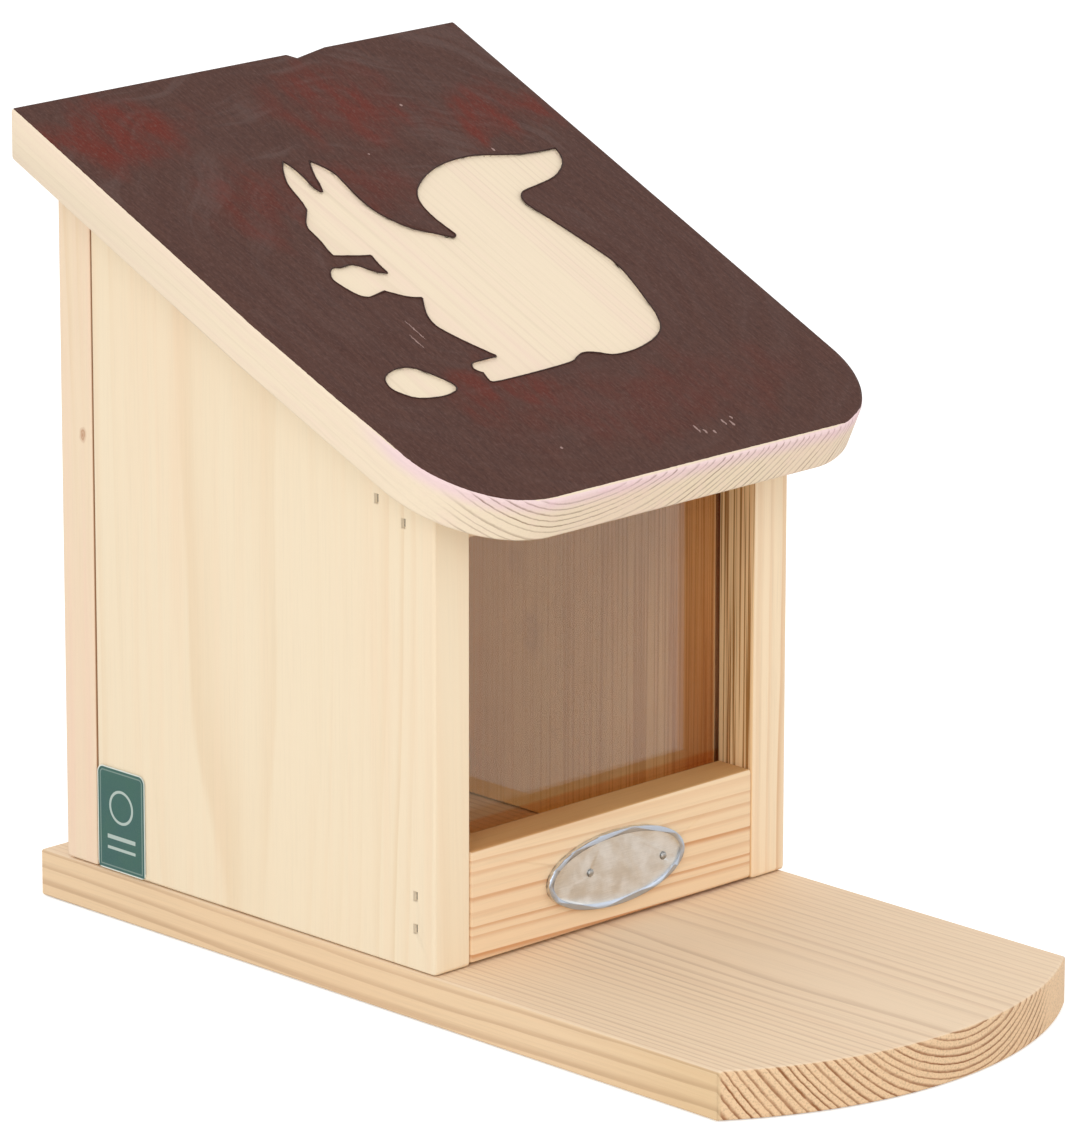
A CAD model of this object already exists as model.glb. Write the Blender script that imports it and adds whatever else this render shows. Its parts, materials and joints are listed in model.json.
"""Looks of a squirrel feeder box: a pine house on a long shelf, with a clear window and a painted lid.

Places are in metres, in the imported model's own frame: the front faces -Y, X runs across, +Z is up.
Patterns in wood, paint and metal are drawn in millimetres.
"""
import json
import math

import bmesh
import bpy
from mathutils import Euler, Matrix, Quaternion, Vector


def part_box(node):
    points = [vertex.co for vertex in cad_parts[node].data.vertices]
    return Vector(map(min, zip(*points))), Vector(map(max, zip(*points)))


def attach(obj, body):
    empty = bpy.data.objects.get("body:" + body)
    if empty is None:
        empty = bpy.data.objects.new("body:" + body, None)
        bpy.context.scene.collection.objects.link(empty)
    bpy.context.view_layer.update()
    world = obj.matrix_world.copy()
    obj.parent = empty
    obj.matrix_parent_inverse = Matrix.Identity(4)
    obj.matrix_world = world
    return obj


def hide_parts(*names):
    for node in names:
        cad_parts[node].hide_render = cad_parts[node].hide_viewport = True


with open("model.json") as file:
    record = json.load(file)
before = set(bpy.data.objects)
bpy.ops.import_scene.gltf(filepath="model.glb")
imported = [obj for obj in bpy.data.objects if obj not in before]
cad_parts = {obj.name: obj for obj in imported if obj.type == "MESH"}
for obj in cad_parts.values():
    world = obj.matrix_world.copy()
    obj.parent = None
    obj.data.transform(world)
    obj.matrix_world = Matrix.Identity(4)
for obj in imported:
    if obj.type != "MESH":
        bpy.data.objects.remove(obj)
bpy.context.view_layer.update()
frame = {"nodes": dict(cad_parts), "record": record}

MM = 0.001
X, Y, Z = range(3)
WHITE = (1.0, 1.0, 1.0, 1.0)

# The camera that took the photograph, as its perspective gives it
CAMERA_TARGET = Vector((0.01335, 0.02475, 0.09382))
CAMERA_AZIMUTH = math.radians(-44.6)
CAMERA_ELEVATION = math.radians(15.67)
CAMERA_ROLL = math.radians(0.09)
CAMERA_DISTANCE = 1.9834
CAMERA_LENS = 246.8
CAMERA_SENSOR = 36.0
CAMERA_CLIP = (0.05, 50.0)

# Light
SKY_STRENGTH = 0.88
SOFTBOX_SIZE = 1.2
# Each softbox's place and power in watts
SOFTBOXES = {"key_softbox": ((-1.8, -1.2, 1.1), 14.0), "fill_softbox": ((1.2, -1.7, 0.9), 3.0)}

# The floor: half its length, how far it lies below the base, and its glow for every ray that looks for a
# backdrop and, on top of that, for those from the camera
FLOOR_HALF = 6.0
FLOOR_DROP = 0.0002
FLOOR_BACKDROP_GLOW = 0.2
FLOOR_CAMERA_GLOW = 0.25

# Shading of rounded edges
MERGE_DISTANCE = 0.000002
SHARP_ANGLE = math.radians(35)

# Where the lid's slope is measured from: above the front corners of the sides
LID_START_Y = -0.02027

# The bead of paint, in metres. It follows the edges that bend more than the least bend, lie within the
# tolerance of the lid's upper face and are in front of the rear limit. Past that is only the lid's rear edge
BEAD = {"Rear Limit": 0.105, "Least Bend": math.radians(60), "Tolerance": 0.00005, "Bead Radius": 0.00022,
        "Unevenness": 0.9, "Step": 0.0007}
BEAD_SIDES = 6
BEAD_WAVER_SCALE = 700.0

BODY_OF = {node: body for body, nodes in frame["record"]["behaviour"]["bodies"].items() for node in nodes}


def srgb(red, green, blue):
    """A colour as it looks on a screen, 0 to 255, as the linear colour that a material takes."""
    def linear(value):
        share = value / 255
        return share / 12.92 if share <= 0.04045 else ((share + 0.055) / 1.055) ** 2.4
    return (linear(red), linear(green), linear(blue), 1.0)


class Graph:
    """Short calls for one node tree. Any input takes a socket, a number, a vector or a colour."""

    def __init__(self, tree):
        self.tree = tree

    def plug(self, socket, value):
        if isinstance(value, bpy.types.NodeSocket):
            self.tree.links.new(value, socket)
        else:
            socket.default_value = value

    def add(self, kind, inputs=None, **settings):
        node = self.tree.nodes.new(kind)
        for name, value in settings.items():
            setattr(node, name, value)
        for name, value in (inputs or {}).items():
            self.plug(node.inputs[name], value)
        return node

    def group(self, tree, inputs):
        return self.add("ShaderNodeGroup", inputs, node_tree=tree).outputs

    def math(self, operation, first, second=0.0, third=0.0, clamp=False):
        inputs = {0: first, 1: second, 2: third}
        return self.add("ShaderNodeMath", inputs, operation=operation, use_clamp=clamp).outputs[0]

    def product(self, *values):
        total = values[0]
        for value in values[1:]:
            total = self.math("MULTIPLY", total, value)
        return total

    def centred(self, value):
        """A noise value, which is 0.5 on average, brought to 0 on average."""
        return self.math("SUBTRACT", value, 0.5)

    def vector(self, operation, first, second=(0.0, 0.0, 0.0)):
        node = self.add("ShaderNodeVectorMath", {0: first, 1: second}, operation=operation)
        return node.outputs["Value" if operation in ("LENGTH", "DOT_PRODUCT") else "Vector"]

    def scaled(self, vector, factors):
        return self.vector("MULTIPLY", vector, factors)

    def drawn(self, vector, share):
        """A point whose pattern is drawn out along the grain, here Z: the smaller the share, the longer."""
        return self.scaled(vector, (1, 1, share))

    def grown(self, vector, factor):
        return self.add("ShaderNodeVectorMath", {0: vector, 3: factor}, operation="SCALE").outputs[0]

    def separate(self, vector):
        return self.add("ShaderNodeSeparateXYZ", {0: vector}).outputs

    def combine(self, x, y, z):
        return self.add("ShaderNodeCombineXYZ", {0: x, 1: y, 2: z}).outputs[0]

    def noise(self, vector, scale, detail=2.0, roughness=0.5, output="Fac"):
        inputs = {"Vector": vector, "Scale": scale, "Detail": detail, "Roughness": roughness}
        return self.add("ShaderNodeTexNoise", inputs).outputs[output]

    def sway(self, vector, scale, reach, detail=1.5):
        """A vector that wanders up to about half of reach either way."""
        colour = self.noise(vector, scale, detail, output="Color")
        return self.grown(self.vector("SUBTRACT", colour, (0.5, 0.5, 0.5)), reach)

    def random(self, value):
        inputs = {"W": value}
        return self.add("ShaderNodeTexWhiteNoise", inputs, noise_dimensions="1D").outputs["Value"]

    def ramp(self, value, low, high, start=0.0, end=1.0):
        """A soft step: start below low, end above high."""
        inputs = {"Value": value, "From Min": low, "From Max": high, "To Min": start, "To Max": end}
        return self.add("ShaderNodeMapRange", inputs, interpolation_type="SMOOTHSTEP").outputs["Result"]

    def fade(self, value, low, high, start=1.0):
        """A soft step down: start below low, 0 above high."""
        return self.ramp(value, low, high, start, 0.0)

    def between(self, value, low, high, soft):
        """1 between two values, with soft ends."""
        return self.product(self.ramp(value, low - soft, low), self.fade(value, high, high + soft))

    def mix(self, factor, first, second, blend="MIX"):
        inputs = {0: factor, 6: first, 7: second}
        return self.add("ShaderNodeMix", inputs, data_type="RGBA", blend_type=blend).outputs[2]

    def blend(self, factor, first, second):
        return self.add("ShaderNodeMix", {0: factor, 2: first, 3: second}, data_type="FLOAT").outputs[0]

    def grey(self, value):
        return self.add("ShaderNodeCombineColor", {0: value, 1: value, 2: value}).outputs[0]


NUMBER, VECTOR, COLOUR = "NodeSocketFloat", "NodeSocketVector", "NodeSocketColor"
GEOMETRY, MATERIAL = "NodeSocketGeometry", "NodeSocketMaterial"


def new_group(name, inputs, outputs, kind="ShaderNodeTree"):
    """An empty node group with named sockets, its graph and its input and output nodes."""
    tree = bpy.data.node_groups.new(name, kind)
    for title, socket in inputs.items():
        tree.interface.new_socket(title, in_out="INPUT", socket_type=socket)
    for title, socket in outputs.items():
        tree.interface.new_socket(title, in_out="OUTPUT", socket_type=socket)
    graph = Graph(tree)
    start = graph.add("NodeGroupInput").outputs
    end = graph.add("NodeGroupOutput").inputs
    return tree, graph, start, end


# How far one unit of seed moves a board through the noise, in millimetres
SEED_STEP_ACROSS = 31.7
SEED_STEP_ALONG = 17.3
# The shares of a year between which the late wood is darkest
LATE_PEAK = (0.88, 0.92)
# What a fully even board has for its years' strength and for the rings' contrast all over
EVEN_STRENGTH = 0.9


def ring_years(graph, given, place):
    """Years counted from the pith. Rings bend slowly along the tree, ripple a little and differ in width."""
    reach = graph.math("MULTIPLY", given["Wander"], 2.0)
    bend = graph.sway(graph.drawn(place, 0.3), scale=0.018, reach=reach)
    reach = graph.math("MULTIPLY", given["Wander"], 0.16)
    ripple = graph.sway(graph.drawn(place, 0.1), scale=0.16, reach=reach, detail=2.0)
    waver = graph.sway(graph.drawn(place, 0.06), scale=0.7, reach=0.35, detail=2.0)
    moved = graph.vector("ADD", graph.vector("ADD", bend, ripple), waver)
    x, y, _ = graph.separate(graph.vector("ADD", given["Point"], moved))
    radius = graph.vector("LENGTH", graph.combine(x, y, 0.0))
    years = graph.math("ADD", graph.math("DIVIDE", radius, given["Ring Width"]), given["Seed"])
    drift = graph.noise(graph.combine(years, given["Seed"], 0.0), scale=0.45, detail=1.0)
    return graph.math("ADD", years, graph.math("MULTIPLY", graph.centred(drift), given["Drift"]))


def late_wood(graph, given, years):
    """How dark a year's ring is: it rises to the year's end and drops, and some years are stronger."""
    strength = graph.math("MULTIPLY_ADD", graph.random(graph.math("FLOOR", years)), 0.7, 0.3)
    strength = graph.blend(given["Evenness"], strength, EVEN_STRENGTH)
    share = graph.math("FRACT", years)
    rise = graph.ramp(share, given["Late Start"], LATE_PEAK[0])
    fall = graph.fade(share, LATE_PEAK[1], 1.0)
    return graph.product(rise, fall, strength)


def make_grain_group():
    """Pine: growth rings round a pith, fibres and slow changes of tone.

    Point is in millimetres, its Z along the grain and the pith at X = Y = 0.
    """
    tree, graph, given, result = new_group(
        "pine_grain",
        {"Point": VECTOR, "End Grain": NUMBER, "Ring Width": NUMBER, "Wander": NUMBER, "Drift": NUMBER,
         "Seed": NUMBER, "Contrast": NUMBER, "End Contrast": NUMBER, "Evenness": NUMBER, "Late Start": NUMBER,
         "Fibre": NUMBER, "End Fibre": NUMBER, "Blotch": NUMBER,
         "Early": COLOUR, "Late": COLOUR, "Warm": COLOUR, "End Tint": COLOUR},
        {"Colour": COLOUR, "Height": NUMBER, "Roughness": NUMBER},
    )
    end = given["End Grain"]
    shift = graph.combine(graph.math("MULTIPLY", given["Seed"], SEED_STEP_ACROSS), 0.0,
                          graph.math("MULTIPLY", given["Seed"], SEED_STEP_ALONG))
    place = graph.vector("ADD", given["Point"], shift)
    late = late_wood(graph, given, ring_years(graph, given, place))

    # The rings' contrast comes and goes over a board's faces
    fading = graph.ramp(graph.noise(graph.drawn(place, 0.04), scale=0.07), 0.35, 0.62, 0.25, 1.3)
    fading = graph.blend(given["Evenness"], fading, EVEN_STRENGTH)
    contrast = graph.blend(end, graph.math("MULTIPLY", given["Contrast"], fading), given["End Contrast"])
    colour = graph.mix(graph.math("MULTIPLY", late, contrast, clamp=True), given["Early"], given["Late"])

    # Long bands and large blotches are warmer
    band = graph.noise(graph.drawn(place, 0.012), scale=0.24, roughness=0.6)
    blotch = graph.noise(graph.drawn(place, 0.25), scale=0.03)
    tone = graph.math("ADD", graph.ramp(band, 0.42, 0.75), graph.ramp(blotch, 0.45, 0.8))
    colour = graph.mix(graph.math("MULTIPLY", tone, given["Blotch"], clamp=True), colour, given["Warm"])
    colour = graph.mix(end, colour, graph.mix(1.0, colour, given["End Tint"], "MULTIPLY"))

    # Fibres: fine streaks along the grain, which show as specks on the end grain
    thread = graph.noise(graph.drawn(place, 0.02), scale=1.5, detail=3.0, roughness=0.65)
    speck = graph.noise(place, scale=1.9, roughness=0.6)
    fine = graph.blend(end, thread, speck)
    strength = graph.blend(end, given["Fibre"], given["End Fibre"])
    dark = graph.math("MULTIPLY", graph.ramp(fine, 0.42, 0.75), strength)
    colour = graph.mix(1.0, colour, graph.grey(graph.math("SUBTRACT", 1.0, dark)), "MULTIPLY")

    graph.plug(result["Colour"], colour)
    graph.plug(result["Height"], graph.math("MULTIPLY_ADD", fine, 0.8, graph.math("MULTIPLY", late, 0.5)))
    graph.plug(result["Roughness"], graph.math("MULTIPLY_ADD", fine, 0.2, 0.5))
    return tree


def make_knot_group():
    """A small knot in a board's face, as a mask, at a point in millimetres with the grain along Z."""
    tree, graph, given, result = new_group(
        "knot", {"Point": VECTOR, "Centre": VECTOR, "Size": NUMBER, "Stretch": NUMBER}, {"Mask": NUMBER})
    x, y, z = graph.separate(graph.vector("SUBTRACT", given["Point"], given["Centre"]))
    stretched = graph.combine(x, y, graph.math("DIVIDE", z, given["Stretch"]))
    uneven = graph.sway(given["Point"], scale=0.35, reach=given["Size"])
    radius = graph.vector("LENGTH", graph.vector("ADD", stretched, uneven))
    share = graph.math("DIVIDE", radius, given["Size"])
    rings = graph.math("MULTIPLY_ADD", graph.math("SINE", graph.math("MULTIPLY", share, 14.0)), 0.18, 0.82)
    graph.plug(result["Mask"], graph.math("MULTIPLY", graph.fade(share, 0.35, 1.3), rings))
    return tree


def make_fleck_group():
    """Sparse specks, as a mask, at a point in millimetres: at most one in each cell of a pattern."""
    tree, graph, given, result = new_group(
        "flecks", {"Point": VECTOR, "Spacing": NUMBER, "Size": NUMBER, "Seed": NUMBER}, {"Mask": NUMBER})
    place = graph.vector("ADD", given["Point"], graph.combine(given["Seed"], given["Seed"], 0.0))
    scale = graph.math("DIVIDE", 1.0, given["Spacing"])
    cells = graph.add("ShaderNodeTexVoronoi", {"Vector": place, "Scale": scale, "Randomness": 1.0})
    size_chance, strength_chance, _ = graph.separate(cells.outputs["Color"])
    distance = graph.math("DIVIDE", cells.outputs["Distance"], scale)
    ragged = graph.math("MULTIPLY_ADD", graph.noise(place, scale=2.2), 1.4, 0.3)
    edge = graph.math("MULTIPLY", graph.math("MULTIPLY", given["Size"], size_chance), ragged)
    inside = graph.math("LESS_THAN", distance, edge)
    graph.plug(result["Mask"], graph.math("MULTIPLY", inside, graph.ramp(strength_chance, 0.45, 0.9)))
    return tree


def make_brushed_group():
    """Fine scratches of drawn or brushed metal along X, at a point in millimetres."""
    tree, graph, given, result = new_group(
        "brushed_metal", {"Point": VECTOR, "Colour": COLOUR, "Dull": COLOUR},
        {"Colour": COLOUR, "Roughness": NUMBER, "Height": NUMBER})
    line = graph.noise(graph.scaled(given["Point"], (0.06, 1.6, 1.6)), scale=3.0, detail=4.0, roughness=0.7)
    cloud = graph.noise(given["Point"], scale=0.28, detail=3.0)
    tone = graph.math("MULTIPLY_ADD", line, 0.5, graph.math("MULTIPLY", cloud, 0.5))
    graph.plug(result["Colour"], graph.mix(graph.ramp(tone, 0.35, 0.65), given["Dull"], given["Colour"]))
    graph.plug(result["Roughness"], graph.ramp(cloud, 0.3, 0.7, 0.28, 0.46))
    graph.plug(result["Height"], line)
    return tree


GRAIN = make_grain_group()
KNOT = make_knot_group()
FLECKS = make_fleck_group()
BRUSHED = make_brushed_group()


def new_material(name):
    """A material with a Principled shader, its graph and the shader."""
    material = bpy.data.materials.new(name)
    material.use_nodes = True
    tree = material.node_tree
    tree.nodes.clear()
    graph = Graph(tree)
    shader = graph.add("ShaderNodeBsdfPrincipled")
    graph.add("ShaderNodeOutputMaterial", {"Surface": shader.outputs[0]}, name="Output")
    return material, graph, shader


def finish(graph, shader, colour, rough, height, depth):
    """Plugs a surface's colour, roughness and height, which stands for a depth in metres."""
    graph.plug(shader.inputs["Base Color"], colour)
    graph.plug(shader.inputs["Roughness"], rough)
    relief = graph.add("ShaderNodeBump", {"Height": height, "Distance": depth, "Strength": 1.0})
    graph.plug(shader.inputs["Normal"], relief.outputs[0])


def object_point(graph, turn=(0.0, 0.0, 0.0), centre=(0.0, 0.0, 0.0)):
    """Object coordinates in millimetres and the surface's normal, both turned.

    The first has a given point of the object (in metres) at zero.
    """
    spin = Euler(turn)
    shift = -(spin.to_matrix() @ Vector(centre)) / MM
    source = graph.add("ShaderNodeTexCoord").outputs
    inputs = {"Vector": source["Object"], "Scale": (1 / MM,) * 3, "Rotation": spin, "Location": shift}
    place = graph.add("ShaderNodeMapping", inputs, vector_type="POINT").outputs[0]
    inputs = {"Vector": source["Normal"], "Rotation": spin}
    return place, graph.add("ShaderNodeMapping", inputs, vector_type="VECTOR").outputs[0]


# Turns that bring a board's grain to the pattern's Z. A slant keeps the rings from running dead true to it
SLANT = math.radians(1.2)
ALONG_Z = (0.0, 0.0, 0.0)
ALONG_Y = (math.radians(90), 0.0, 0.0)
ALONG_X = (0.0, math.radians(-90), 0.0)
ALONG_Z_SLANTED = (0.0, SLANT, 0.0)
ALONG_X_SLANTED = (0.0, math.radians(-90) - SLANT, 0.0)

PINE = {
    "Ring Width": 3.0, "Wander": 4.0, "Drift": 2.2, "Seed": 1.0, "Contrast": 0.3, "End Contrast": 0.9,
    "Evenness": 0.0, "Late Start": 0.45, "Fibre": 0.06, "End Fibre": 0.1, "Blotch": 0.5,
    "Early": srgb(240, 214, 180), "Late": srgb(190, 135, 90), "Warm": srgb(238, 205, 168),
    "End Tint": WHITE,
}
WOOD_RELIEF = 0.00005
WOOD_SHINE = 0.25
KNOT_TINT = srgb(176, 118, 72)


class Pine:
    """A bare pine board's material: its grain, which a board's own function may tint before the end."""

    def __init__(self, name, turn, pith, **wood):
        self.material, self.graph, self.shader = new_material(name)
        self.point, facing = object_point(self.graph, turn, pith)
        self.place, self.outward = object_point(self.graph)
        along = self.graph.math("ABSOLUTE", self.graph.separate(facing)[Z])
        values = {**PINE, **{key.replace("_", " ").title(): value for key, value in wood.items()}}
        end = self.graph.ramp(along, 0.45, 0.8)
        self.grain = self.graph.group(GRAIN, {"Point": self.point, "End Grain": end, **values})
        self.colour = self.grain["Colour"]

    def vary(self, name, value):
        """Gives one input of the grain a value that changes over the board."""
        self.graph.plug(self.grain[0].node.inputs[name], value)

    def tint(self, mask, colour):
        """Multiplies the wood's colour where the mask is 1."""
        tinted = self.graph.mix(1.0, self.colour, colour, "MULTIPLY")
        self.colour = self.graph.mix(mask, self.colour, tinted)

    def knot(self, centre, size, stretch, strength):
        """A knot at a place in millimetres, for a board whose grain is upright."""
        inputs = {"Point": self.place, "Centre": centre, "Size": size, "Stretch": stretch}
        mask = self.graph.group(KNOT, inputs)["Mask"]
        self.tint(self.graph.math("MULTIPLY", mask, strength), KNOT_TINT)

    def facing_mask(self, axis, sign):
        """1 where the surface faces along an axis, 0 elsewhere."""
        along = self.graph.math("MULTIPLY", self.graph.separate(self.outward)[axis], sign)
        return self.graph.ramp(along, 0.6, 0.9)

    def done(self):
        rough, height = self.grain["Roughness"], self.grain["Height"]
        finish(self.graph, self.shader, self.colour, rough, height, WOOD_RELIEF)
        self.shader.inputs["Specular IOR Level"].default_value = WOOD_SHINE
        return self.material


def offset(node, x=0.0, y=0.0, z=0.0):
    """A point off a board's middle, given in millimetres, as a place in metres."""
    low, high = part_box(node)
    return (low + high) / 2 + Vector((x, y, z)) * MM


def box_mm(node):
    """The low and the high corner of a node, in millimetres."""
    return [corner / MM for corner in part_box(node)]


def lid_slope():
    """The lid's upper face: the way it faces, and the point that its slope is measured from."""
    mesh = frame["nodes"]["roof_board"].data
    face = max((p for p in mesh.polygons if p.normal.z > 0.5), key=lambda p: p.area)
    normal = face.normal.copy()
    known = mesh.vertices[face.vertices[0]].co
    height = known.z + (LID_START_Y - known.y) * -normal.y / normal.z
    return normal, Vector((0, LID_START_Y, height))


LID_NORMAL, LID_START = lid_slope()
LID_PITCH = math.atan2(-LID_NORMAL.y, LID_NORMAL.z)
ALONG_LID = (math.radians(90) - LID_PITCH, 0.0, 0.0)

# Places in the house that the looks of its boards follow, in millimetres
WALL = box_mm("right_side_panel")[0].x  # from the middle to the inner face of each side
PANE_FRONT, PANE_REAR = (corner.y for corner in box_mm("window_pane"))
PANE_CLEARANCE = 0.3
SILL_REAR = box_mm("front_sill")[1].y
PLATE_FIELD = -box_mm("blank_plaque")[0].y - 0.5  # the plate's face inside its rim, forward of the middle

# For the faces of boards that meet, which a gap shows as a line
JOINT_SHADE = srgb(186, 156, 132)
# For inner faces, which are browner than the outside
INNER_SHADE = srgb(249, 230, 198)


def base_pine():
    """The base, sawn below its pith. The end grain is plainer at the right, and the left edge more even."""
    wood = Pine("pine_base", ALONG_Y, pith=offset("base_board", x=6, z=40.2), ring_width=1.9, wander=2.2,
                drift=1.2, seed=3.35, late_start=0.52, fibre=0.06, end_fibre=0.26, blotch=0.35,
                early=srgb(241, 216, 185), late=srgb(152, 104, 68), warm=srgb(238, 208, 176),
                end_tint=srgb(252, 240, 224))
    graph = wood.graph
    across, along, _ = graph.separate(wood.place)
    wood.vary("End Contrast", graph.ramp(across, 36.0, 46.0, 1.3, 0.12))
    side = wood.facing_mask(X, -1)
    wood.vary("Contrast", graph.blend(side, 0.36, 0.42))
    wood.vary("Evenness", graph.blend(side, 0.45, 0.9))
    rearward = graph.ramp(along, -120.0, -50.0)
    wood.tint(side, graph.mix(rearward, srgb(243, 235, 216), srgb(251, 245, 234)))
    return wood.done()


def groove_shade(wood, colour):
    """Darkens the saw cut that holds the pane, beside the compartment."""
    across, along, _ = wood.graph.separate(wood.place)
    aside = wood.graph.math("ABSOLUTE", across)
    deep = wood.graph.between(aside, WALL + 0.4, WALL + 6.0, 0.25)
    cut = wood.graph.between(along, PANE_FRONT - PANE_CLEARANCE, PANE_REAR + PANE_CLEARANCE, 0.1)
    wood.tint(wood.graph.product(deep, cut), colour)


def left_pine():
    """The left side, whose inner face and groove the window doesn't show."""
    wood = Pine("pine_left_side", ALONG_Z_SLANTED, pith=offset("left_side_panel", x=46, y=12),
                ring_width=4.2, wander=5.0, seed=7.0, contrast=0.24, fibre=0.03, blotch=0.4,
                early=srgb(243, 225, 195), late=srgb(220, 182, 134), warm=srgb(243, 218, 186))
    wood.tint(wood.facing_mask(X, 1), INNER_SHADE)
    wood.tint(wood.facing_mask(Y, 1), JOINT_SHADE)
    groove_shade(wood, srgb(166, 130, 104))
    return wood.done()


# Factors on the red, green and blue of the right side's inner face at its rear, which warm it
REAR_WARMTH = (1.14, 1.0, 0.64, 1.0)


def wall_behind_pane(graph, along, up, deep):
    """The tint of the right side's inner face behind the pane: stained next to it, and paler farther in."""
    stained = graph.mix(graph.ramp(up, 50.0, 115.0), srgb(200, 148, 102), srgb(232, 190, 144))
    hazy = graph.mix(deep, srgb(232, 210, 177), REAR_WARMTH)
    seen = graph.mix(graph.ramp(along, 6.0, 20.0), stained, hazy)
    above_window = graph.ramp(up, 108.0, 142.0)
    return graph.mix(above_window, seen, INNER_SHADE)


def right_pine():
    """The right side, whose inner face is the one that the window shows."""
    wood = Pine("pine_right_side", ALONG_Z, pith=offset("right_side_panel", x=70, y=20), ring_width=3.2,
                wander=3.0, seed=5.0, contrast=0.5, fibre=0.07, blotch=0.5,
                early=srgb(247, 225, 192), late=srgb(204, 150, 96), warm=srgb(246, 218, 184))
    graph = wood.graph
    across, along, up = graph.separate(wood.place)
    inner = wood.facing_mask(X, -1)
    behind = graph.ramp(along, -1.5, 0.5)
    deep = graph.ramp(along, 14.0, 94.0)
    shade = wall_behind_pane(graph, along, up, deep)
    wood.tint(inner, graph.mix(behind, srgb(254, 242, 220), shade))

    # Upright stripes, strong in front of the pane and faint far behind it
    stripe = graph.ramp(graph.noise(graph.drawn(wood.place, 0.008), scale=1.3, detail=1.0), 0.47, 0.6)
    faint = graph.mix(deep, srgb(230, 214, 194), srgb(252, 248, 240))
    wood.tint(graph.product(inner, stripe), graph.mix(behind, srgb(178, 150, 112), faint))
    wood.vary("Contrast", graph.blend(graph.product(inner, behind), 0.5, 0.18))
    wood.knot((WALL, 66, 62), size=4.0, stretch=1.8, strength=0.22)
    wood.knot((WALL, 72, 80), size=3.0, stretch=1.6, strength=0.14)

    # The dark line where the pane meets the wall, up to the rail
    line = graph.product(graph.between(along, -3.0, -0.9, 0.4), graph.fade(across, WALL + 0.3, WALL + 0.5),
                         graph.fade(up, 117.0, 120.0))
    wood.tint(graph.product(inner, line), srgb(130, 84, 60))
    groove_shade(wood, srgb(150, 112, 86))
    return wood.done()


def back_pine():
    """The back panel, with a small knot in its left edge."""
    wood = Pine("pine_back", ALONG_Z_SLANTED, pith=offset("back_panel", x=10, y=-60), ring_width=4.2,
                wander=5.0, seed=9.0, contrast=0.3, fibre=0.03, blotch=0.4,
                early=srgb(241, 219, 189), late=srgb(222, 186, 140), warm=srgb(243, 210, 186))
    wood.knot((-62, 113.25, 126.6), size=1.3, stretch=1.5, strength=0.7)
    aside = wood.graph.math("ABSOLUTE", wood.graph.separate(wood.place)[X])
    on_sides = wood.graph.ramp(aside, WALL, WALL + 0.4)
    wood.tint(wood.facing_mask(Y, -1), wood.graph.mix(on_sides, srgb(250, 232, 200), JOINT_SHADE))
    return wood.done()


def sill_pine():
    """The sill, whose top is browner, with a dark line at the pane's foot."""
    wood = Pine("pine_sill", ALONG_X_SLANTED, pith=offset("front_sill", y=3, z=-60), ring_width=3.4,
                wander=2.5, drift=1.6, seed=2.0, contrast=0.8, fibre=0.06, blotch=0.3,
                early=srgb(243, 215, 178), late=srgb(208, 150, 102), warm=srgb(242, 206, 168))
    top = wood.facing_mask(Z, 1)
    wood.tint(top, srgb(216, 188, 150))
    along = wood.graph.separate(wood.place)[Y]
    foot_of_pane = wood.graph.ramp(along, SILL_REAR - 1.05, SILL_REAR - 0.35)
    wood.tint(wood.graph.product(top, foot_of_pane), srgb(110, 84, 60))
    return wood.done()


def rail_pine():
    """The cross rail under the lid."""
    return Pine("pine_rail", ALONG_X, pith=offset("top_rail", y=30, z=40), seed=4.0).done()


LID_RELIEF = 0.00006
LID_SHINE = 0.15
LID_PITH_HEIGHT = 0.052  # above the lid's upper face, in metres
LID_PITH_ACROSS = -0.036


def lid_wood():
    """The lid's own board, with its pith above the left of its middle."""
    pith = LID_START + LID_NORMAL * LID_PITH_HEIGHT
    pith.x = LID_PITH_ACROSS
    return Pine("painted_lid", ALONG_LID, pith, ring_width=1.9, wander=2.4, drift=1.2, seed=6.0,
                contrast=0.14, end_contrast=1.0, evenness=0.15, late_start=0.62, fibre=0.04, end_fibre=0.05,
                early=srgb(241, 223, 196), late=srgb(146, 119, 94), warm=srgb(241, 216, 196))


# Red patches in the paint: across, up the slope, and half their length each way, in millimetres, and strength
RED_PATCHES = [(-56, 138, 26, 16, 1.0), (16, 132, 24, 20, 0.85), (54, 117, 24, 12, 1.0),
               (-40, 103, 20, 16, 0.6), (-29, 17, 20, 12, 0.7), (-10, 100, 30, 16, 0.5),
               (10, 4, 60, 14, 0.35)]
PAINT_RED = srgb(102, 31, 13)
PAINT_DARK = srgb(70, 38, 29)
PAINT_LIGHT = srgb(86, 54, 44)
PAINT_GREY = srgb(90, 65, 58)
GRIT_LIGHT = srgb(104, 74, 66)
GRIT_DARK = srgb(48, 25, 18)
# The middle of the broad sweeps of the brush, on the lid: across and up the slope in millimetres
SWEEP_CENTRE = (-6, 0, 60)


def brush_strokes(graph, place):
    """Brush marks: bristle lines up the slope, and broad curved sweeps."""
    swerve = graph.sway(graph.drawn(place, 0.5), scale=0.02, reach=14.0)
    swerved = graph.vector("ADD", place, swerve)
    bristle = graph.noise(graph.drawn(swerved, 0.06), scale=1.2, detail=4.0, roughness=0.7)
    away = graph.vector("SUBTRACT", place, SWEEP_CENTRE)
    across, _, up = graph.separate(graph.vector("ADD", away, graph.sway(place, scale=0.03, reach=24.0)))
    turned = graph.math("ARCTAN2", up, across)
    reach = graph.vector("LENGTH", graph.combine(across, 0.0, up))
    polar = graph.combine(graph.math("MULTIPLY", turned, 7.0), reach, 0.0)
    return bristle, graph.noise(polar, scale=0.22, detail=4.0, roughness=0.6)


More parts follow.
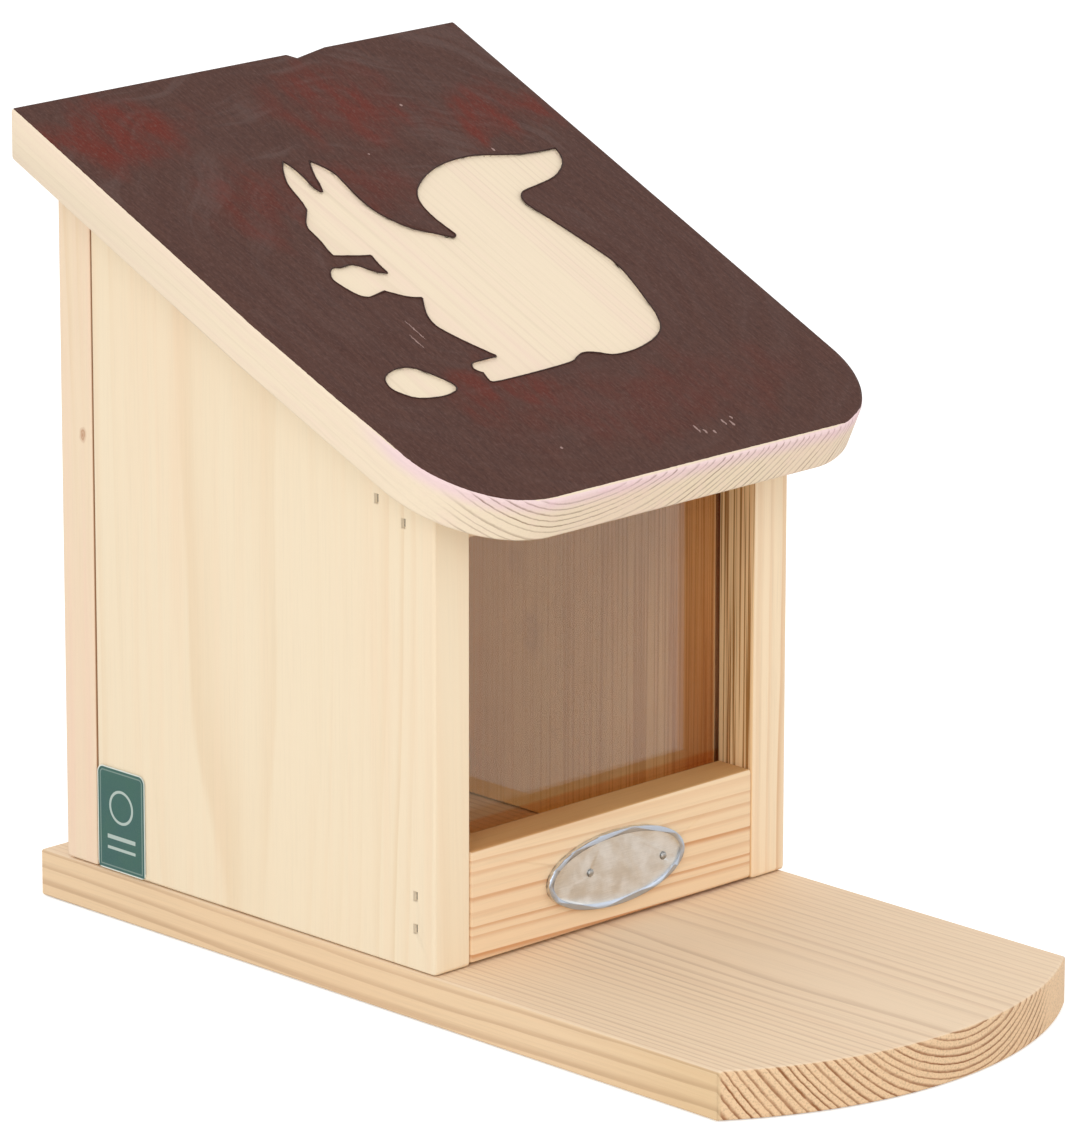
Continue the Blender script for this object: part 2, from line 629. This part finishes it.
def red_mask(graph, place):
    """Where the paint lets more red through, in soft and ragged patches."""
    stray = graph.sway(graph.drawn(place, 0.6), scale=0.09, reach=40.0, detail=5.0)
    ragged = graph.vector("ADD", place, stray)
    thinness = graph.noise(graph.drawn(place, 0.35), scale=0.16, detail=4.0, roughness=0.65)
    mask = 0.0
    for across, up, wide, long, strength in RED_PATCHES:
        away = graph.vector("SUBTRACT", ragged, (across, 0, up))
        distance = graph.vector("LENGTH", graph.scaled(away, (1 / wide, 0, 1 / long)))
        mask = graph.math("MAXIMUM", mask, graph.fade(distance, 0.35, 1.15, strength))
    return graph.math("MULTIPLY", mask, graph.ramp(thinness, 0.34, 0.62, 0.25, 1.0))


def paint_colour(graph, place):
    """Dark brown paint, redder and greyer in patches: its colour, roughness and height."""
    bristle, sweep = brush_strokes(graph, place)
    colour = graph.mix(graph.ramp(bristle, 0.3, 0.7), PAINT_DARK, PAINT_LIGHT)

    # Grey where the sweeps lie thin, more so at the rear
    patch = graph.noise(graph.drawn(place, 0.6), scale=0.05, detail=4.0, roughness=0.6)
    thickness = graph.math("MULTIPLY_ADD", sweep, 0.6, graph.math("MULTIPLY", patch, 0.4))
    rearward = graph.ramp(graph.separate(place)[Z], 50.0, 110.0)
    greyness = graph.math("MULTIPLY_ADD", rearward, 0.5, 0.15)
    colour = graph.mix(graph.product(graph.fade(thickness, 0.38, 0.5), greyness), colour, PAINT_GREY)

    colour = graph.mix(red_mask(graph, place), colour, PAINT_RED)
    grit = graph.noise(graph.drawn(place, 0.4), scale=1.5, detail=4.0, roughness=0.75)
    colour = graph.mix(graph.ramp(grit, 0.5, 0.68, 0.0, 0.55), colour, GRIT_LIGHT)
    colour = graph.mix(graph.fade(grit, 0.3, 0.48, 0.6), colour, GRIT_DARK)
    rough = graph.ramp(graph.blend(0.5, bristle, sweep), 0.3, 0.7, 0.44, 0.58)
    return colour, rough, graph.blend(0.5, bristle, grit)


# Small chips and scratches in the paint: across, up the slope and reach, in millimetres, and how many times
# as long as wide
CHIPS = [(33, 128, 0.45, 1), (-30, -7, 0.4, 1), (12.5, -12, 0.3, 5), (14, -13.5, 0.3, 3),
         (16.5, -14.5, 0.35, 2), (22, -12, 0.3, 4), (24, -13, 0.35, 3), (25.5, -11, 0.3, 2),
         (-34, 45, 0.16, 26), (-37, 41, 0.15, 20), (8, 112, 0.35, 1), (45, 104, 0.35, 2)]
CHIP_COLOUR = srgb(176, 146, 138)
CHIP_STRENGTH = 0.75


def chip_mask(graph, place):
    """Where the paint is knocked off."""
    mask = graph.group(FLECKS, {"Point": place, "Spacing": 15.0, "Size": 0.28, "Seed": 4.0})["Mask"]
    ragged = graph.vector("ADD", place, graph.sway(place, scale=1.3, reach=0.9, detail=3.0))
    for across, up, reach, drawn in CHIPS:
        away = graph.vector("SUBTRACT", ragged, (across, 0, up))
        distance = graph.vector("LENGTH", graph.scaled(away, (1, 0, 1 / drawn)))
        mask = graph.math("MAXIMUM", mask, graph.math("LESS_THAN", distance, reach))
    return mask


# The left front corner of the paint, in millimetres: its arc's centre, left of the middle and up the slope,
# and its radius low and high up the slope
CORNER_LEFT = 46.0
CORNER_UP = 5.3
CORNER_RADII = (28.0, 30.7)


def painted_mask(graph, place):
    """1 on paint: down to where the lid's edge rounds off, a little over it at the right, and short of the
    edge at the front left corner."""
    across, depth, up = graph.separate(place)
    wobble = graph.math("MULTIPLY", graph.centred(graph.noise(place, scale=0.5, detail=3.0)), 0.3)
    reach = graph.ramp(across, 60.0, 72.0, 0.12, 0.45)
    over = graph.math("LESS_THAN", graph.math("ADD", depth, graph.math("MULTIPLY", wobble, 0.4)), reach)
    leftward = graph.math("MINIMUM", graph.math("ADD", across, CORNER_LEFT), 0.0)
    frontward = graph.math("MINIMUM", graph.math("SUBTRACT", up, CORNER_UP), 0.0)
    from_centre = graph.vector("LENGTH", graph.combine(leftward, 0.0, frontward))
    limit = graph.ramp(up, 0.0, 60.0, *CORNER_RADII)
    return graph.product(over, graph.math("LESS_THAN", graph.math("ADD", from_centre, wobble), limit))


# What the stain beside the paint makes of the wood's red, green and blue
PINK_STAIN = (0.99, 0.9, 1.18, 1.0)


def stain_mask(graph, place, facing):
    """Where the front edge has soaked up some paint: next to the paint, in the first millimetres below it."""
    _, depth, up = graph.separate(place)
    upward = graph.math("ABSOLUTE", graph.separate(facing)[Y])
    near_paint = graph.fade(depth, 0.8, 5.0, 0.95)
    on_edge = graph.fade(upward, 0.9, 0.99)
    at_front = graph.fade(up, 4.0, 24.0)
    return graph.product(near_paint, on_edge, at_front)


def painted_lid():
    """The lid: paint on its upper face, bare pine on its edges, underside and in the sunk figure."""
    wood = lid_wood()
    graph = wood.graph
    place, facing = object_point(graph, ALONG_LID, LID_START)
    wood.tint(stain_mask(graph, place, facing), PINK_STAIN)
    colour, rough, height = paint_colour(graph, place)
    chipped = graph.math("MULTIPLY", chip_mask(graph, place), CHIP_STRENGTH)
    colour = graph.mix(chipped, colour, CHIP_COLOUR)
    painted = painted_mask(graph, place)
    finish(graph, wood.shader, graph.mix(painted, wood.colour, colour),
           graph.blend(painted, wood.grain["Roughness"], rough),
           graph.blend(painted, wood.grain["Height"], height), LID_RELIEF)
    wood.shader.inputs["Specular IOR Level"].default_value = LID_SHINE
    return wood.material


BEAD_RELIEF = 0.00004
BEAD_SHINE = 0.2


def dark_paint():
    """The thick edge of paint round the figure."""
    material, graph, shader = new_material("dark_paint")
    place, _ = object_point(graph)
    tone = graph.noise(place, scale=0.6, detail=3.0)
    colour = graph.mix(tone, srgb(52, 31, 26), srgb(70, 44, 37))
    finish(graph, shader, colour, graph.ramp(tone, 0.3, 0.7, 0.45, 0.62), tone, BEAD_RELIEF)
    shader.inputs["Specular IOR Level"].default_value = BEAD_SHINE
    return material


# The band of the pane that the sill shades, in millimetres above the ground
PANE_FOOT = (41.0, 44.6)


def acrylic():
    """Clear sheet with a little dust, which lets the lamps through to the compartment."""
    material, graph, shader = new_material("clear_acrylic")
    shader.inputs["Transmission Weight"].default_value = 1.0
    shader.inputs["IOR"].default_value = 1.5
    place, _ = object_point(graph)
    dust = graph.ramp(graph.noise(place, scale=0.12, detail=4.0, roughness=0.6), 0.4, 0.8)
    clean = graph.mix(dust, srgb(255, 250, 242), srgb(252, 244, 232))
    foot = graph.between(graph.separate(place)[Z], *PANE_FOOT, 0.5)
    graph.plug(shader.inputs["Base Color"], graph.mix(foot, clean, srgb(248, 208, 164)))
    graph.plug(shader.inputs["Roughness"], graph.math("MULTIPLY_ADD", dust, 0.01, 0.0))
    rays = graph.add("ShaderNodeLightPath").outputs
    lights = graph.math("MAXIMUM", rays["Is Shadow Ray"], rays["Is Diffuse Ray"])
    clear = graph.add("ShaderNodeBsdfTransparent", {"Color": WHITE})
    both = graph.add("ShaderNodeMixShader", {0: lights, 1: shader.outputs[0], 2: clear.outputs[0]})
    graph.plug(graph.tree.nodes["Output"].inputs["Surface"], both.outputs[0])
    return material


METAL_RELIEF = 0.00002


def metal(name, bright, dull):
    """Drawn or brushed metal, bright with duller streaks."""
    material, graph, shader = new_material(name)
    place, _ = object_point(graph)
    brushed = graph.group(BRUSHED, {"Point": place, "Colour": bright, "Dull": dull})
    finish(graph, shader, brushed["Colour"], brushed["Roughness"], brushed["Height"], METAL_RELIEF)
    shader.inputs["Metallic"].default_value = 1.0
    return material


def plate_metal():
    """The oval plate: a warm satin field inside a cooler, brighter rim."""
    material, graph, shader = new_material("plate_metal")
    place, _ = object_point(graph)
    tones = {"Colour": srgb(231, 232, 231), "Dull": srgb(213, 214, 213)}
    brushed = graph.group(BRUSHED, {"Point": place, **tones})
    forward = graph.math("MULTIPLY", graph.separate(place)[Y], -1.0)
    rim = graph.ramp(forward, PLATE_FIELD + 0.05, PLATE_FIELD + 0.35)
    colour = graph.mix(rim, brushed["Colour"], srgb(188, 196, 208))
    rough = graph.blend(rim, brushed["Roughness"], 0.34)
    finish(graph, shader, colour, rough, brushed["Height"], METAL_RELIEF)
    shader.inputs["Metallic"].default_value = 1.0
    return material


# The label, in millimetres from its middle
LABEL_CORNER = 2.2
RING_HEIGHT = 3.6
RING_RADII = (3.9, 4.5)
UPPER_BAR = (-5.3, -4.3)
LOWER_BAR = (-8.1, -7.4)
BAR_HALF_LENGTH = 5.2
KEYLINE = (1.0, 1.25)  # in from the edge
FILM_RELIEF = 0.00001


def label_inset(graph, across, up):
    """How far a point lies inside the label's edge, and inside the arcs of its round upper corners."""
    low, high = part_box("side_label")
    half_width, half_height = (high.y - low.y) / 2 / MM, (high.z - low.z) / 2 / MM
    from_side = graph.math("SUBTRACT", half_width, graph.math("ABSOLUTE", across))
    from_end = graph.math("SUBTRACT", half_height, graph.math("ABSOLUTE", up))
    from_top = graph.math("SUBTRACT", half_height, up)
    past_side, past_top = (graph.math("MINIMUM", graph.math("SUBTRACT", gap, LABEL_CORNER), 0.0)
                           for gap in (from_side, from_top))
    past_corner = graph.vector("LENGTH", graph.combine(past_side, 0.0, past_top))
    arc = graph.math("SUBTRACT", LABEL_CORNER, past_corner)
    return graph.math("MINIMUM", graph.math("MINIMUM", from_side, from_end), arc), arc


def label_print(graph, across, up, inset):
    """The plain print: a faint keyline, a ring and two bars."""
    keyline = graph.math("MULTIPLY", graph.between(inset, *KEYLINE, 0.1), 0.35)
    radius = graph.vector("LENGTH", graph.combine(across, graph.math("SUBTRACT", up, RING_HEIGHT), 0.0))
    ring = graph.between(radius, *RING_RADII, 0.12)
    bars = graph.math("MAXIMUM", graph.between(up, *UPPER_BAR, 0.1), graph.between(up, *LOWER_BAR, 0.1))
    ends = graph.fade(graph.math("ABSOLUTE", across), BAR_HALF_LENGTH, BAR_HALF_LENGTH + 0.2)
    return graph.math("MAXIMUM", graph.math("MAXIMUM", keyline, ring), graph.product(bars, ends))


def label_film():
    """Teal printed film with a pale edge, a plain ring and two plain bars."""
    material, graph, shader = new_material("label_film")
    place, _ = object_point(graph, centre=offset("side_label"))
    _, across, up = graph.separate(place)
    inset, arc = label_inset(graph, across, up)
    graph.plug(shader.inputs["Alpha"], graph.math("GREATER_THAN", arc, 0.0))
    printed = label_print(graph, across, up, inset)
    colour = graph.mix(graph.noise(place, scale=0.12, detail=3.0), srgb(50, 97, 80), srgb(42, 88, 88))
    colour = graph.mix(graph.math("MULTIPLY", printed, 0.7), colour, srgb(206, 220, 212))
    colour = graph.mix(graph.fade(inset, 0.2, 0.4), colour, srgb(228, 232, 222))
    fine = graph.noise(place, scale=3.0)
    finish(graph, shader, colour, graph.ramp(fine, 0.3, 0.7, 0.42, 0.55), fine, FILM_RELIEF)
    return material


def link(piece):
    bpy.context.scene.collection.objects.link(piece)
    return piece


def bake(piece):
    """Applies a piece's modifiers to its mesh."""
    graph = bpy.context.evaluated_depsgraph_get()
    done = bpy.data.meshes.new_from_object(piece.evaluated_get(graph), preserve_all_data_layers=True,
                                           depsgraph=graph)
    piece.modifiers.clear()
    piece.data = done


def merged_copy(node):
    """A new mesh with a CAD node's shape, its loose triangles joined."""
    mesh = frame["nodes"][node].data.copy()
    shape = bmesh.new()
    shape.from_mesh(mesh)
    bmesh.ops.remove_doubles(shape, verts=shape.verts, dist=MERGE_DISTANCE)
    shape.to_mesh(mesh)
    shape.free()
    mesh.materials.clear()
    return mesh


def smooth_piece(node, material):
    """Stands for a CAD node in its own shape, with its rounded edges shaded smoothly."""
    mesh = merged_copy(node)
    mesh.materials.append(material)
    mesh.shade_smooth()
    mesh.set_sharp_from_angle(angle=SHARP_ANGLE)
    piece = link(bpy.data.objects.new(f"{node}_finished", mesh))
    weighted = piece.modifiers.new("even_faces", "WEIGHTED_NORMAL")
    weighted.keep_sharp = True
    bake(piece)
    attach(piece, BODY_OF[node])
    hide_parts(node)


def dress(node, material):
    """Gives a CAD node its material."""
    mesh = frame["nodes"][node].data
    mesh.materials.clear()
    mesh.materials.append(material)


def make_bead_rule():
    """Geometry nodes: a bead of paint along every sharp edge that lies in the lid's upper face."""
    tree, graph, given, result = new_group(
        "paint_bead_rule",
        {"Geometry": GEOMETRY, "Lid Start": VECTOR, "Lid Normal": VECTOR, "Rear Limit": NUMBER,
         "Least Bend": NUMBER, "Tolerance": NUMBER, "Bead Radius": NUMBER, "Unevenness": NUMBER,
         "Step": NUMBER, "Paint": MATERIAL},
        {"Geometry": GEOMETRY}, kind="GeometryNodeTree")

    # The edges to follow
    place = graph.add("GeometryNodeInputPosition").outputs[0]
    from_start = graph.vector("SUBTRACT", place, given["Lid Start"])
    above = graph.vector("DOT_PRODUCT", from_start, given["Lid Normal"])
    level = graph.math("LESS_THAN", graph.math("ABSOLUTE", above), given["Tolerance"])
    bend = graph.add("GeometryNodeInputMeshEdgeAngle").outputs["Unsigned Angle"]
    sharp = graph.math("GREATER_THAN", bend, given["Least Bend"])
    inside = graph.math("LESS_THAN", graph.separate(place)[Y], given["Rear Limit"])
    chosen = graph.product(level, sharp, inside)
    line = graph.add("GeometryNodeMeshToCurve", {"Mesh": given["Geometry"], "Selection": chosen}).outputs[0]
    even = graph.add("GeometryNodeResampleCurve", {"Curve": line, "Length": given["Step"]}, mode="LENGTH")

    # The bead along them, of an uneven width
    waver = graph.centred(graph.noise(place, scale=BEAD_WAVER_SCALE))
    width = graph.math("MULTIPLY_ADD", waver, given["Unevenness"], 1.0)
    outline = graph.add("GeometryNodeCurvePrimitiveCircle",
                        {"Resolution": BEAD_SIDES, "Radius": given["Bead Radius"]})
    inputs = {"Curve": even.outputs[0], "Profile Curve": outline.outputs[0], "Scale": width}
    bead = graph.add("GeometryNodeCurveToMesh", inputs).outputs[0]
    smooth = graph.add("GeometryNodeSetShadeSmooth", {"Geometry": bead}).outputs[0]
    real = graph.add("GeometryNodeRealizeInstances", {"Geometry": smooth}).outputs[0]
    done = graph.add("GeometryNodeSetMaterial", {"Geometry": real, "Material": given["Paint"]}).outputs[0]
    graph.plug(result["Geometry"], done)
    return tree


def set_inputs(modifier, values):
    """Sets a nodes modifier's inputs by their names in its tree."""
    for item in modifier.node_group.interface.items_tree:
        if item.item_type == "SOCKET" and item.in_out == "INPUT" and item.name in values:
            modifier[item.identifier] = values[item.name]


def make_paint_bead():
    """The thin dark edge where the paint stops round the squirrel and the nut."""
    paint = dark_paint()
    bead = link(bpy.data.objects.new("paint_bead", merged_copy("roof_board")))
    modifier = bead.modifiers.new("bead", "NODES")
    modifier.node_group = make_bead_rule()
    set_inputs(modifier, {"Lid Start": LID_START, "Lid Normal": LID_NORMAL, "Paint": paint, **BEAD})
    bake(bead)
    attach(bead, "lid")


def dress_all():
    """Every node gets its finish. Those with rounded edges get a smoothly shaded stand-in."""
    zinc = metal("zinc_plate", srgb(205, 207, 210), srgb(150, 152, 156))
    steel = metal("brad_steel", srgb(120, 114, 108), srgb(70, 64, 60))
    pin_metal = metal("pin_metal", srgb(222, 222, 220), srgb(150, 150, 150))
    smoothed = {
        "base_board": base_pine(),
        "left_side_panel": left_pine(),
        "right_side_panel": right_pine(),
        "back_panel": back_pine(),
        "front_sill": sill_pine(),
        "roof_board": painted_lid(),
        "blank_plaque": plate_metal(),
    }
    kept = {"top_rail": rail_pine(), "window_pane": acrylic(), "side_label": label_film()}
    for node in list(frame["nodes"]):
        if node in smoothed:
            smooth_piece(node, smoothed[node])
        elif node in kept:
            dress(node, kept[node])
        elif "brad" in node:
            dress(node, steel)
        elif "plaque_pin" in node:
            smooth_piece(node, pin_metal)
        else:
            smooth_piece(node, zinc)


def make_camera():
    """The camera that took the photograph."""
    direction = Vector((
        math.sin(CAMERA_AZIMUTH) * math.cos(CAMERA_ELEVATION),
        -math.cos(CAMERA_AZIMUTH) * math.cos(CAMERA_ELEVATION),
        math.sin(CAMERA_ELEVATION),
    ))
    data = bpy.data.cameras.new("photo_camera")
    data.sensor_width = CAMERA_SENSOR
    data.lens = CAMERA_LENS
    data.clip_start, data.clip_end = CAMERA_CLIP
    camera = link(bpy.data.objects.new("photo_camera", data))
    camera.rotation_mode = "QUATERNION"
    camera.location = CAMERA_TARGET + direction * CAMERA_DISTANCE
    aim = (-direction).to_track_quat("-Z", "Y")
    camera.rotation_quaternion = aim @ Quaternion((0, 0, 1), CAMERA_ROLL)
    bpy.context.scene.camera = camera


def make_softbox(name, place, power):
    """A square area lamp that faces the house."""
    data = bpy.data.lights.new(name, "AREA")
    data.shape = "SQUARE"
    data.size = SOFTBOX_SIZE
    data.energy = power
    lamp = link(bpy.data.objects.new(name, data))
    lamp.location = Vector(place)
    lamp.rotation_mode = "QUATERNION"
    lamp.rotation_quaternion = (CAMERA_TARGET - lamp.location).to_track_quat("-Z", "Y")


def sees_backdrop(graph):
    """1 for rays that should find a plain white backdrop: from the camera, mirrored or through glass."""
    rays = graph.add("ShaderNodeLightPath").outputs
    seen = graph.math("MAXIMUM", rays["Is Camera Ray"], rays["Is Glossy Ray"])
    return graph.math("MAXIMUM", seen, rays["Is Transmission Ray"])


def make_sky():
    """An even dome of light, with a plain white backdrop for the rays that find it."""
    world = bpy.data.worlds.new("studio")
    world.use_nodes = True
    world.node_tree.nodes.clear()
    graph = Graph(world.node_tree)
    dome = graph.add("ShaderNodeBackground", {"Color": WHITE, "Strength": SKY_STRENGTH})
    backdrop = graph.add("ShaderNodeBackground", {"Color": WHITE, "Strength": 1.0})
    inputs = {0: sees_backdrop(graph), 1: dome.outputs[0], 2: backdrop.outputs[0]}
    both = graph.add("ShaderNodeMixShader", inputs)
    graph.add("ShaderNodeOutputWorld", {"Surface": both.outputs[0]})
    bpy.context.scene.world = world


def floor_white():
    """White cloth whose own glow lifts it to white, so that the house's shadow stays soft."""
    material = bpy.data.materials.new("floor_white")
    material.use_nodes = True
    material.node_tree.nodes.clear()
    graph = Graph(material.node_tree)
    cloth = graph.add("ShaderNodeBsdfDiffuse", {"Color": srgb(236, 236, 236)})
    seen = graph.add("ShaderNodeLightPath").outputs["Is Camera Ray"]
    backdrop_glow = graph.math("MULTIPLY", sees_backdrop(graph), FLOOR_BACKDROP_GLOW)
    strength = graph.math("MULTIPLY_ADD", seen, FLOOR_CAMERA_GLOW, backdrop_glow)
    glow = graph.add("ShaderNodeEmission", {"Color": WHITE, "Strength": strength})
    both = graph.add("ShaderNodeAddShader", {0: cloth.outputs[0], 1: glow.outputs[0]})
    graph.add("ShaderNodeOutputMaterial", {"Surface": both.outputs[0]})
    return material


def make_floor():
    """A wide floor just below the base."""
    mesh = bpy.data.meshes.new("floor")
    signs = [(-1, -1), (1, -1), (1, 1), (-1, 1)]
    corners = [(FLOOR_HALF * across, FLOOR_HALF * along, -FLOOR_DROP) for across, along in signs]
    mesh.from_pydata(corners, [], [(0, 1, 2, 3)])
    mesh.materials.append(floor_white())
    floor = link(bpy.data.objects.new("floor", mesh))


make_camera()
make_sky()
make_floor()
for name, (place, power) in SOFTBOXES.items():
    make_softbox(name, place, power)
dress_all()
make_paint_bead()

bpy.context.scene.view_settings.view_transform = "Standard"
